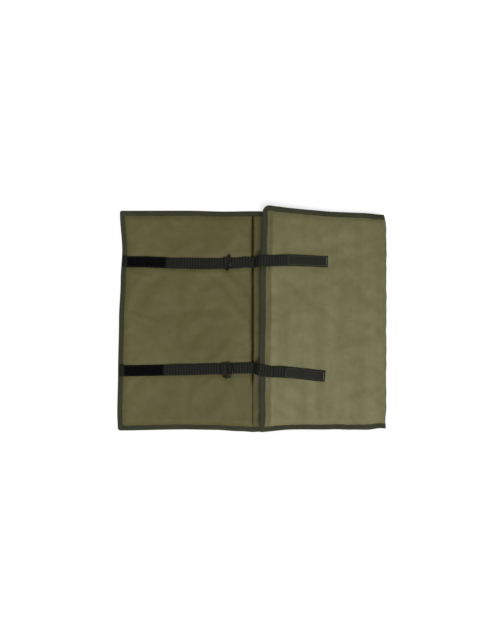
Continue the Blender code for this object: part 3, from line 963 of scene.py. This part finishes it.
def cloth(name, color, rub=(9, 9, 1), fade=0.0, edges=0.0, hem_shade=0.0, bands=0.0, specular=0.3):
    """Coated woven polyester: a plain weave with uneven threads, slight streaks and patches of tone. Some
    options paint light and shade into its colour: a gradient from south to north, highlights on the left
    panel, and shade on the flap's hem.
    """
    paint = Paint(name, color, 0.55, specular=specular)
    warp, weft = [paint.math("SUBTRACT", paint.wave(way, CLOTH_THREAD), 0.5) for way in "XY"]
    weave = paint.math("MULTIPLY", warp, weft)
    streaks = paint.noise(1, 3, 0.6, stretch=(40, 900, 1))
    slubs = paint.noise(1, 3, 0.6, stretch=(900, 40, 1))
    patches = paint.noise(9, 4, 0.55)
    blotches = paint.noise(75, 3, 0.6)
    grain = paint.noise(420, 2, 0.6)
    threads = paint.sum((streaks, 0.3), (slubs, 0.3), (grain, 0.4))
    mottle = paint.ramp(paint.sum((patches, 0.5), (blotches, 0.5)), 0.36, 0.64)
    toned = paint.tint(paint.ramp(threads, 0.3, 0.7), 1 - CLOTH_TONE, 1 + CLOTH_TONE)
    toned = paint.shade(toned, mottle, (0.91, 0.91, 0.90), (1.09, 1.09, 1.10))
    # Painted light and shade: the cloth is made paler towards the south end and darker towards the north end.
    if fade:
        northwards = paint.ramp(paint.axis("Y"), -HALF_LENGTH, HALF_LENGTH)
        toned = paint.shade(toned, northwards, paler(fade), paler(-fade))
    relief = threads
    if edges:
        # This cloth's threads are pressed flat, so that only its weave stands out.
        relief = highlight_places(paint)
        # Painted highlights: the cloth is made paler on the left panel's slopes beside its groove and by its
        # west edge, where they catch the light.
        toned = paint.shade(toned, relief, WHITE, paler(edges))
    if bands:
        stripe = paint.ramp(paint.noise(1, 2, 0.5, stretch=rub), 0.35, 0.65)
        toned = paint.shade(toned, stripe, (1 - bands,) * 3, (1 + bands,) * 3)
    # Painted shade on the sloping hem strip beside the flap's free edge.
    if hem_shade:
        pressed = (1 - hem_shade, 1 - hem_shade, 1 - hem_shade * 1.1)
        toned = paint.shade(toned, paint.attribute("hem"), WHITE, pressed)
    woven = paint.shade(toned, paint.ramp(weave, -0.2, 0.2), (0.93, 0.93, 0.92), (1.07, 1.07, 1.08))
    polish = paint.sum((paint.noise(1, 2, 0.5, stretch=rub), 0.75), (patches, 0.25))
    paint.set("Roughness", paint.sum((paint.ramp(polish, 0.38, 0.62, 0.62, 0.49), 1), (grain, 0.04)))
    return paint.finish(woven, paint.sum((weave, 1.6), (relief, 0.8)), 0.5, 0.0002)


def highlight_places(paint):
    """1 where highlights are painted, along the left panel's west edge and beside its groove, 0 elsewhere."""
    settings = {"operation": "DISTANCE"}
    away = paint.node("ShaderNodeVectorMath", settings, i0=paint.where(), i1=HIGHLIGHT_CORNER).outputs["Value"]
    by_groove = paint.math("MULTIPLY", paint.ramp(paint.axis("X"), *HIGHLIGHT_BY_GROOVE), 0.75)
    return paint.math("MAXIMUM", by_groove, paint.ramp(away, *HIGHLIGHT_RUN))


def tape_material():
    """Folded ribbed tape, with fine ribs across its width and patches of tone."""
    paint = Paint("binding_tape", (0.030, 0.032, 0.0155), 0.62, specular=0.2)
    lengthwise = paint.along_across()
    ribs = paint.wave("X", 0.0009, lengthwise)
    rows = paint.wave("Y", 0.0006, lengthwise)
    share = paint.sum((ribs, 0.35), (paint.noise(700, 2, 0.6), 0.65))
    patches = paint.ramp(paint.noise(14, 4, 0.6), 0.3, 0.7)
    color = paint.shade(paint.tint(share, 0.78, 1.22), patches, (0.82, 0.84, 0.86), (1.2, 1.18, 1.14))
    return paint.finish(color, paint.sum((ribs, 1), (rows, 0.4)), 0.6, 0.0002)


def webbing_material():
    """Ribbed webbing: fine lengthwise yarns over the modelled ribs, darker at its west end."""
    paint = Paint("webbing", (0.0115, 0.0118, 0.0085), 0.6, specular=0.12)
    lengthwise = paint.along_across()
    yarns = paint.wave("Y", 0.0011, lengthwise)
    picks = paint.wave("X", 0.00155, lengthwise)
    ribs = paint.wave("X", RIB_PITCH, lengthwise)
    grain = paint.noise(900, 2, 0.6)
    share = paint.ramp(paint.sum((grain, 0.5), (ribs, 0.5)), 0.25, 0.75)
    eastwards = paint.ramp(paint.attribute("along"), 0.20, 0.25)
    color = paint.shade(paint.tint(share, 0.5, 1.65), eastwards, (0.76, 0.78, 0.74), WHITE)
    woven = paint.math("MULTIPLY", yarns, paint.math("ADD", picks, 0.3))
    return paint.finish(color, paint.sum((woven, 1), (grain, 0.5)), 0.7, 0.00025)


def pile_material():
    """Soft black loop pile."""
    paint = Paint("loop_pile", (0.0024, 0.0024, 0.0029), 0.95, specular=0.03)
    curls = paint.sum((paint.noise(1300, 3, 0.7), 0.6), (paint.noise(160, 3, 0.6), 0.4))
    return paint.finish(paint.tint(paint.ramp(curls, 0.3, 0.7), 0.5, 1.8), curls, 0.9, 0.0006)


def hook_material():
    """Moulded hook tape with a slight gloss."""
    paint = Paint("hook_tape", (0.0160, 0.0165, 0.0115), 0.6, specular=0.12)
    rows = paint.wave("Y", 0.0011, paint.along_across())
    share = paint.sum((rows, 0.4), (paint.noise(800, 2, 0.6), 0.6))
    return paint.finish(paint.tint(share, 0.7, 1.3), share, 0.4, 0.0002)


def metal_material():
    """Dark plated wire with fine scratches and paler rubbed spots."""
    paint = Paint("dark_plated_wire", (0.030, 0.031, 0.029), 0.34, metallic=1.0)
    rubbed = paint.ramp(paint.noise(260, 4, 0.65), 0.35, 0.7)
    scratches = paint.noise(1, 3, 0.6, stretch=(300, 2500, 2500))
    paint.set("Roughness", paint.ramp(scratches, 0.3, 0.7, 0.24, 0.40))
    return paint.finish(paint.tint(rubbed, 0.75, 1.9), scratches, 0.15, 0.0001)


def thread_material(name, color):
    """Twisted sewing thread."""
    paint = Paint(name, color, 0.6, specular=0.2)
    twist = paint.noise(2600, 2, 0.5)
    return paint.finish(paint.tint(twist, 0.6, 1.4), twist, 0.4, 0.0001)


def foam_material():
    """Grey closed-cell foam."""
    paint = Paint("closed_cell_foam", (0.25, 0.25, 0.24), 0.9, specular=0.2)
    cells = paint.node("ShaderNodeTexVoronoi", Vector=paint.where(), Scale=900.0).outputs["Distance"]
    return paint.finish(paint.tint(cells, 0.8, 1.1), cells, 0.5, 0.0003)


INNER_RUB = (14, 7, 1)
# One inner cloth in two copies: the darker copy, on the middle panel and under the flap, is painted shade
# from the flap lying over the middle panel; the left panel's paler copy carries painted highlights.
SHADED_INNER_CLOTH = cloth("inner_cloth", (0.080, 0.073, 0.0215), rub=INNER_RUB)
HIGHLIGHTED_LEFT_CLOTH = cloth("inner_cloth_in_the_open", (0.091, 0.083, 0.025), rub=INNER_RUB, edges=0.14, bands=0.015)
# The outer cloth's fade is painted light and shade, paler south and darker north; its hem setting paints
# shade on the flap's sloping hem.
OUTER_CLOTH = cloth(
    "outer_cloth", (0.149, 0.139, 0.0585), rub=(32, 4, 1), fade=0.10, hem_shade=0.24, bands=0.05
)
# Painted shade: the outer cloth is darkened where it turns round the closed fold and faces down.
FOLD_SHADE_CLOTH = cloth("outer_cloth_at_fold", (0.062, 0.060, 0.026))
# Painted shade: the seam strip at the bottom of the groove is near-black brown, the groove's shadow.
SEAM_SHADE_CLOTH = cloth("seam_strip_cloth", (0.022, 0.016, 0.003), specular=0.03)
TAPE = tape_material()
WEBBING = webbing_material()
PILE = pile_material()
HOOK = hook_material()
METAL = metal_material()
FOAM = foam_material()
OLIVE_THREAD = thread_material("olive_thread", (0.060, 0.060, 0.036))
# Painted shade: the groove's seam thread is as dark as the groove's shadow.
SEAM_SHADE_THREAD = thread_material("seam_thread", (0.030, 0.024, 0.010))
BLACK_THREAD = thread_material("black_thread", (0.020, 0.021, 0.019))
GREY_THREAD = thread_material("grey_thread", (0.110, 0.108, 0.090))
# Painted highlight: a pale thread for the row across each hook patch's end, where the stitching catches the
# light.
HIGHLIGHT_THREAD = thread_material("pale_thread", (0.340, 0.335, 0.290))


# Panels


def ride(piece, body, replaced=()):
    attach(piece, body)
    if replaced:
        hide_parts(*replaced)
    return piece


def make_panel(panel, upper, lower):
    """The foam and the two skins of one panel. Each skin is given as (CAD node, material, slot); the slot is
    not used.
    """
    x, y = panel.grid()
    low = panel.bottom(x, y)
    high = panel.top(x, y)
    inner_low = panel.place(x, y, low + SKIN + LAYER_GAP)
    inner_high = panel.place(x, y, high - SKIN - LAYER_GAP)
    foam = grid_layer(f"{panel.name}_foam", inner_low, inner_high, FOAM)
    ride(foam, panel.name, [f"{panel.name}_foam_core"])
    area = float((panel.end - panel.start) * (panel.half(panel.start) + panel.half(panel.end)))
    hemmed = panel.hemmed(x, y)
    for name, under, over, (node, finish, slot) in (
        ("top_cover", high - SKIN, high, upper),
        ("bottom_cover", low, low + SKIN, lower),
    ):
        points = panel.place(x, y, under), panel.place(x, y, over)
        skin = grid_layer(f"{panel.name}_{name}", *points, finish, hemmed)
        ride(skin, panel.name, [node])


def tape_profile():
    """The folded tape as (distance in, height from its middle), from the upper tip round to the lower tip
    and back along the inside."""
    width, valley = TAPE_WIDTH, STITCH_LINE

    def leg(thickness):
        outer = TAPE_HALF - thickness
        tip = [(width, outer + 0.0001), (width - 0.0005, outer + 0.0002), (valley + 0.0008, outer + 0.0001)]
        tip += [(valley, outer - 0.00012), (valley - 0.0008, outer + 0.0001), (width * 0.5, outer + 0.00005)]
        arc = [math.pi / 2 * (1 - step / 5) for step in range(6)]
        upper = tip + [(thickness + outer * (1 - math.cos(a)), outer * math.sin(a)) for a in arc]
        return upper + [(inset, -height) for inset, height in upper[-2::-1]]

    return leg(0) + leg(TAPE_THICKNESS)[::-1]


def make_tape(name, panel, stations, node):
    """One binding tape along the stations, with its stitch rows above and below."""
    profile = tape_profile()
    outer = np.array([station(0) for station in stations])
    along = lengths_along(outer)
    by_side = smooth((abs(outer[:, 1]) - HALF_LENGTH + WOBBLE_CORNER) / WOBBLE_RUN)
    wobble = mix(END_WOBBLE, TAPE_WOBBLE, by_side) * ripple(along, WOBBLE_WAVES, panel.seed + 5)
    sections = []
    for station, off in zip(stations, wobble):
        section = []
        for inset, height in profile:
            x, y = station(inset + off * inset / TAPE_WIDTH)
            z = panel.floor + TAPE_MIDDLE + height + panel.lift(x, y)
            section.append(panel.place(np.array(x), np.array(y), np.array(z)))
        sections.append(section)
    across = [inset + height for inset, height in profile]
    ride(sweep(name, sections, TAPE, along=along, across=across), panel.name, [node])
    add_tape_stitches(f"{name}_stitching", panel, stations)


def add_tape_stitches(name, panel, stations):
    """The rows of stitches along the inner edge of a tape, on its upper and lower leg."""
    flat = np.array([station(STITCH_LINE) for station in stations])
    length = lengths_along(flat)
    count = int(length[-1] / STITCH_PITCH)
    places = []
    for side in (1, -1):
        for middle in (np.arange(count) + 0.5) * length[-1] / count:
            ends = []
            for at in (middle - STITCH_LENGTH / 2, middle, middle + STITCH_LENGTH / 2):
                x = np.interp(at, length, flat[:, 0])
                y = np.interp(at, length, flat[:, 1])
                z = panel.floor + TAPE_MIDDLE + side * (TAPE_HALF - 0.00008) + panel.lift(x, y)
                ends.append(panel.place(x, y, z))
            places.append((ends[1], ends[2] - ends[0], (0, 0, side)))
    ride(stitches(name, places, OLIVE_THREAD), panel.name)


def make_middle_tapes():
    for side, word in ((1, "north"), (-1, "south")):
        stations = [MIDDLE.side_station(x, side) for x in side_places(TAPE_JOINT_GAP, FOLD_X - FOLD_RUN)]
        make_tape(f"middle_{word}_tape", MIDDLE, stations, f"middle_{word}_binding")


def make_left_seam():
    """The skins sewn together at the open fold: a strip that bends with the fold, and its stitches, both
    darkened with painted shade.
    """
    half = HALF_LENGTH - 0.0004
    top = TAPE_MIDDLE + EDGE_STACK / 2 - 0.0008
    low = TAPE_MIDDLE - EDGE_STACK / 2
    reach = GROOVE_GAP + SEAM_LAP
    ys = graded(-half, half, 0.002, widest=0.006)
    x, y = np.meshgrid(np.linspace(-reach, reach, 9), ys, indexing="ij")
    dip = 0.0006 * np.cos(np.pi * x / reach / 2) + 0.0002 * ripple(y, (0.006, 0.011, 0.027), 71)
    x = x * (1 + SEAM_SPREAD * closing(y))
    under, over = MIDDLE.place(x, y, low + 0 * x), MIDDLE.place(x, y, top - dip)
    seam = grid_layer("left_fold_seam_cloth", under, over, SEAM_SHADE_CLOTH)
    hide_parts("left_fold_seam")
    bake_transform(seam)
    places = []
    for at in np.arange(-half + 0.012, half - 0.012, STITCH_PITCH):
        centre = MIDDLE.place(np.array(0.0), np.array(at), np.array(top - 0.0006))
        places.append((centre, (0, 1, 0), (0, 0, 1)))
    ride(stitches("left_fold_stitching", places, SEAM_SHADE_THREAD), "middle")


def make_right_fold():
    """The outer skin where it turns round the closed fold, darkened with painted shade."""
    high = FLAP_FLOOR + TAPE_MIDDLE + EDGE_STACK / 2
    low = THICKNESS - EDGE_STACK
    middle, half_height = (high + low) / 2, (high - low) / 2
    half = FOLD_HALF_LENGTH - TAPE_INSET
    ys = graded(-half, half, 0.002, widest=0.006)
    a, y = np.meshgrid(np.linspace(math.pi / 2, -math.pi / 2, 17), ys, indexing="ij")
    bulge = FOLD_BULGE + 0.0005 * ripple(y, (0.031, 0.052, 0.11), 81)
    points = []
    for depth in (bulge - SKIN, bulge):
        x = FOLD_X - SEAM_GAP + depth * np.cos(a)
        z = middle + (half_height - (bulge - depth)) * np.sin(a)
        points.append(FLAP.place(x, y, z))
    # The turned cloth is painted dark: painted shade on the fold's down-facing side.
    skin = grid_layer("right_fold_cover", *points, FOLD_SHADE_CLOTH)
    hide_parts("right_fold_skin")
    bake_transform(skin)


# Straps


def web_loop():
    """The webbing's section as (share across, share of the thickness, 1 above or -1 below)."""
    shares = (-0.5, -0.494, -0.47, -0.43, -0.30, -0.15, 0.0, 0.15, 0.30, 0.43, 0.47, 0.494, 0.5)
    heights = (0.0, 0.55, 0.95, 1.0, 1.0, 1.0, 1.0, 1.0, 1.0, 1.0, 0.95, 0.55, 0.0)
    above = list(zip(shares, heights))
    return [(*point, 1) for point in above] + [(*point, -1) for point in above[-2:0:-1]]


def make_webbing(name, strap, first, last):
    """A length of ribbed webbing between two distances along the strap."""
    count = int((last - first) / (RIB_PITCH / RIB_STEPS)) + 1
    along = np.linspace(first, last, count)
    share, full, side = np.array(web_loop()).T
    across = share * WEBBING_WIDTH
    rib = 0.5 + 0.5 * np.cos(2 * np.pi * along / RIB_PITCH)
    sections = []
    for at, swell in zip(along, rib):
        height = side * (WEBBING_THICKNESS / 2 * full) + RIB_HEIGHT * swell * (abs(share) < 0.45) * side
        sections.append(strap.point(np.full(len(share), at), across, height)[0])
    return sweep(name, sections, WEBBING, along=along, across=across)


def make_patch(name, strap, first, last, width, height, material, roughen):
    """A hook or loop patch on the webbing, between two distances along the strap."""
    along = np.linspace(first, last, int((last - first) / 0.0011) + 1)
    across = np.linspace(-width / 2, width / 2, 22)
    s, v = np.meshgrid(along, across, indexing="ij")
    edge = np.minimum(np.minimum(s - first, last - s), width / 2 - abs(v))
    base = PATCH_FLOOR
    under, _, _ = strap.point(s, v, np.full_like(s, base))
    crown = base + height * (0.35 + 0.65 * rise(edge, 0.0012)) + roughen(s, v) * rise(edge, 0.002)
    over, _, _ = strap.point(s, v, crown)
    return grid_layer(name, under, over, material)


def stretch(strap, node, shifts=(0.0, 0.0)):
    """The distances along the strap between which a node lies."""
    low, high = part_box(node)
    return strap.at_x(low.x + shifts[0]), strap.at_x(high.x + shifts[1])


def pile_bumps(s, v):
    random = np.random.default_rng(5)
    return 0.00028 * random.uniform(-1, 1, s.shape) + 0.0002 * rumple(s, v, 0.006, 61)


def hook_rows(s, v):
    return 0.00006 * np.sin(2 * np.pi * v / 0.0022)


def row_along(strap, first, last, across, height):
    count = max(int((last - first) / STITCH_PITCH), 1)
    at = first + (np.arange(count) + 0.5) * (last - first) / count
    return list(zip(*strap.point(at, np.full(count, across), np.full(count, height))))


def row_across(strap, at, half, height, pitch=STITCH_PITCH):
    count = max(int(2 * half / pitch), 1)
    across = -half + (np.arange(count) + 0.5) * 2 * half / count
    points, forward, up = strap.point(np.full(count, at), across, np.full(count, height))
    return list(zip(points, np.cross(up, forward), up))


def box_rows(strap, first, last, width, height, inset=0.0018):
    """Stitches round a patch: along both edges, across its start and across its end."""
    first, last = first + inset, last - inset
    half = width / 2 - inset
    rows = row_along(strap, first, last, half, height) + row_along(strap, first, last, -half, height)
    return rows, row_across(strap, first, half, height), row_across(strap, last, half, height)


def make_base(strap):
    base = make_webbing(f"{strap.name}_webbing", strap, 0.0, strap.at_x(0.0))
    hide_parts(f"{strap.name}_base")
    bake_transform(base)
    node = f"{strap.name}_loop_patch"
    ends = stretch(strap, node, LOOP_SHIFTS[strap.side])
    pile = make_patch(f"{strap.name}_loop_pile", strap, *ends, LOOP_WIDTH, LOOP_HEIGHT, PILE, pile_bumps)
    ride(pile, "left", [node])
    rows, first, last = box_rows(strap, *ends, LOOP_WIDTH, PATCH_FLOOR + 0.0012)
    ride(stitches(f"{strap.name}_loop_stitching", rows + first + last, BLACK_THREAD), "left")
    top = WEBBING_THICKNESS / 2 + RIB_HEIGHT * 0.7
    tacks = []
    for at in (0.003, *(strap.at_x(strap.ring.x) + gap for gap in TACK_GAPS)):
        tacks += row_across(strap, at, WEBBING_WIDTH * 0.4, top, TACK_PITCH)
    ride(stitches(f"{strap.name}_bar_tacks", tacks, BLACK_THREAD), "left")


def lift_with_tail(piece, strap):
    """The tail drops onto the middle panel as the flap opens."""
    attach(piece, f"{strap.side}_tail")
    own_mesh(piece)


def make_tail(strap):
    split, end = strap.at_x(0.0), strap.at_x(strap.reach)
    tail = make_webbing(f"{strap.name}_loose_webbing", strap, split, end)
    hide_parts(f"{strap.name}_tail")
    node = f"{strap.name}_hook_patch"
    ends = stretch(strap, node)
    hook = make_patch(f"{strap.name}_hook_tape", strap, *ends, HOOK_WIDTH, HOOK_HEIGHT, HOOK, hook_rows)
    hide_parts(node)
    rows, first, last = box_rows(strap, *ends, HOOK_WIDTH, PATCH_FLOOR + 0.00085, 0.0009)
    dim = stitches(f"{strap.name}_hook_stitching", rows + first, GREY_THREAD)
    # The end row's pale thread is a painted highlight.
    bright = stitches(f"{strap.name}_end_stitching", last, HIGHLIGHT_THREAD, radius=BRIGHT_THREAD_RADIUS)
    for piece in (tail, hook, dim, bright):
        lift_with_tail(piece, strap)


def ring_skew(y):
    return math.sin(math.pi / 2 * y / RING_HALF_WIDTH)


def ring_path():
    """The middle of the ring's wire, flat: a bow that leans a little to one side and a straight bar."""
    side = RING_HALF_WIDTH - RING_CORNER
    bow = RING_DEPTH - RING_CORNER
    points = []
    for angle in (math.pi / 2 * step / 6 for step in range(7)):
        points.append((RING_CORNER * (1 - math.cos(angle)), side + RING_CORNER * math.sin(angle)))
    for angle in (math.pi * step / 40 for step in range(1, 40)):
        points.append((RING_CORNER + bow * math.sin(angle), RING_HALF_WIDTH * math.cos(angle)))
    points += [(x, -y) for x, y in points[6::-1]]
    points = [(x + RING_SKEW * ring_skew(y), y - RING_LEAN * x * x / RING_DEPTH) for x, y in points]
    bar = [-side + 2 * side * step / 10 for step in range(1, 10)]
    return points + [(RING_SKEW * ring_skew(y) ** 3, y) for y in bar]


def make_ring(strap):
    """The D-ring, bent from round wire, with the thicker weld in the middle of its bar."""
    tilt = RING_TILTS[strap.side]
    turn = Matrix.Rotation(RING_TURNS[strap.side], 3, "Z")
    centre = strap.ring + Vector((0, RING_SLIDES[strap.side], 0))
    path = [centre + turn @ Vector((x * math.cos(tilt), y, x * math.sin(tilt))) for x, y in ring_path()]
    axis = turn @ Vector((-math.sin(tilt), 0, math.cos(tilt)))
    angles = [2 * math.pi * step / 16 for step in range(16)]
    sections = []
    for index, point in enumerate(path):
        forward = (path[(index + 1) % len(path)] - path[index - 1]).normalized()
        side = forward.cross(axis).normalized()
        radius = WIRE_RADIUS * (1 + 0.10 * math.exp(-(((point - centre).length / 0.0016) ** 2)))
        sections.append([point + (side * math.cos(a) + axis * math.sin(a)) * radius for a in angles])
    ring = sweep(f"{strap.name}_ring", sections, METAL, ring=True)
    ride(ring, f"{strap.side}_ring", [f"{strap.name}_d_ring"])


# Stage


def make_floor():
    """A pale floor that takes a soft shadow, and glows as bright as the backdrop to the camera."""
    reach, depth = 4.0, -0.0004
    data = bpy.data.meshes.new("floor")
    corners = [(x * reach, y * reach, depth) for x, y in ((-1, -1), (1, -1), (1, 1), (-1, 1))]
    data.from_pydata(corners, [], [(0, 1, 2, 3)])
    paint = Paint("pale_floor", (0.42, 0.42, 0.42), 0.9, specular=0.0)
    rays = paint.node("ShaderNodeLightPath").outputs
    seen = paint.math("MAXIMUM", rays["Is Camera Ray"], rays["Is Glossy Ray"])
    seen = paint.math("MAXIMUM", seen, rays["Is Transmission Ray"])
    glow = paint.node("ShaderNodeEmission", Strength=paint.math("MULTIPLY", seen, FLOOR_GLOW))
    added = paint.node("ShaderNodeAddShader", i0=paint.shader.outputs[0], i1=glow.outputs[0])
    paint.tree.links.new(added.outputs[0], paint.tree.nodes["Material Output"].inputs["Surface"])
    data.materials.append(paint.material)
    add_object("floor", data)


def make_world():
    world = bpy.data.worlds.new("studio")
    bpy.context.scene.world = world
    world.use_nodes = True
    nodes, links = world.node_tree.nodes, world.node_tree.links
    background = nodes["Background"]
    background.inputs["Color"].default_value = (1, 1, 1, 1)
    path = nodes.new("ShaderNodeLightPath")
    seen = nodes.new("ShaderNodeMath")
    seen.operation = "MAXIMUM"
    links.new(path.outputs["Is Camera Ray"], seen.inputs[0])
    links.new(path.outputs["Is Transmission Ray"], seen.inputs[1])
    strength = nodes.new("ShaderNodeMapRange")
    strength.inputs["To Min"].default_value = WORLD_LIGHT
    strength.inputs["To Max"].default_value = 1.0
    links.new(seen.outputs[0], strength.inputs["Value"])
    links.new(strength.outputs[0], background.inputs["Strength"])


def make_sun():
    light = bpy.data.lights.new("softbox", "SUN")
    light.energy = SUN_ENERGY
    light.angle = SUN_ANGLE
    sun = add_object("softbox", light)
    sun.rotation_mode = "QUATERNION"
    sun.rotation_quaternion = Vector(SUN_TOWARDS).to_track_quat("Z", "Y")


def make_camera():
    data = bpy.data.cameras.new("camera")
    data.sensor_width = SENSOR
    data.lens = SENSOR * CAMERA_HEIGHT / VIEW_HEIGHT
    camera = add_object("camera", data)
    camera.location = (CAMERA_X, 0, THICKNESS + CAMERA_HEIGHT)
    bpy.context.scene.camera = camera


def main():
    make_camera()
    make_world()
    make_sun()
    make_floor()
    bpy.context.scene.view_settings.view_transform = "Standard"
    inner, outer = "inner_cloth", "outer_cloth"
    make_panel(LEFT, ("left_inner_skin", HIGHLIGHTED_LEFT_CLOTH, inner), ("left_outer_skin", OUTER_CLOTH, outer))
    make_panel(MIDDLE, ("middle_inner_skin", SHADED_INNER_CLOTH, inner), ("middle_outer_skin", OUTER_CLOTH, outer))
    make_panel(FLAP, ("flap_outer_skin", OUTER_CLOTH, outer), ("flap_inner_skin", SHADED_INNER_CLOTH, inner))
    make_tape("left_tape", LEFT, LEFT.outline(), "left_binding")
    make_tape("flap_tape", FLAP, FLAP.outline(), "flap_binding")
    make_middle_tapes()
    make_left_seam()
    make_right_fold()
    for strap in STRAPS:
        make_base(strap)
        make_tail(strap)
        make_ring(strap)


main()
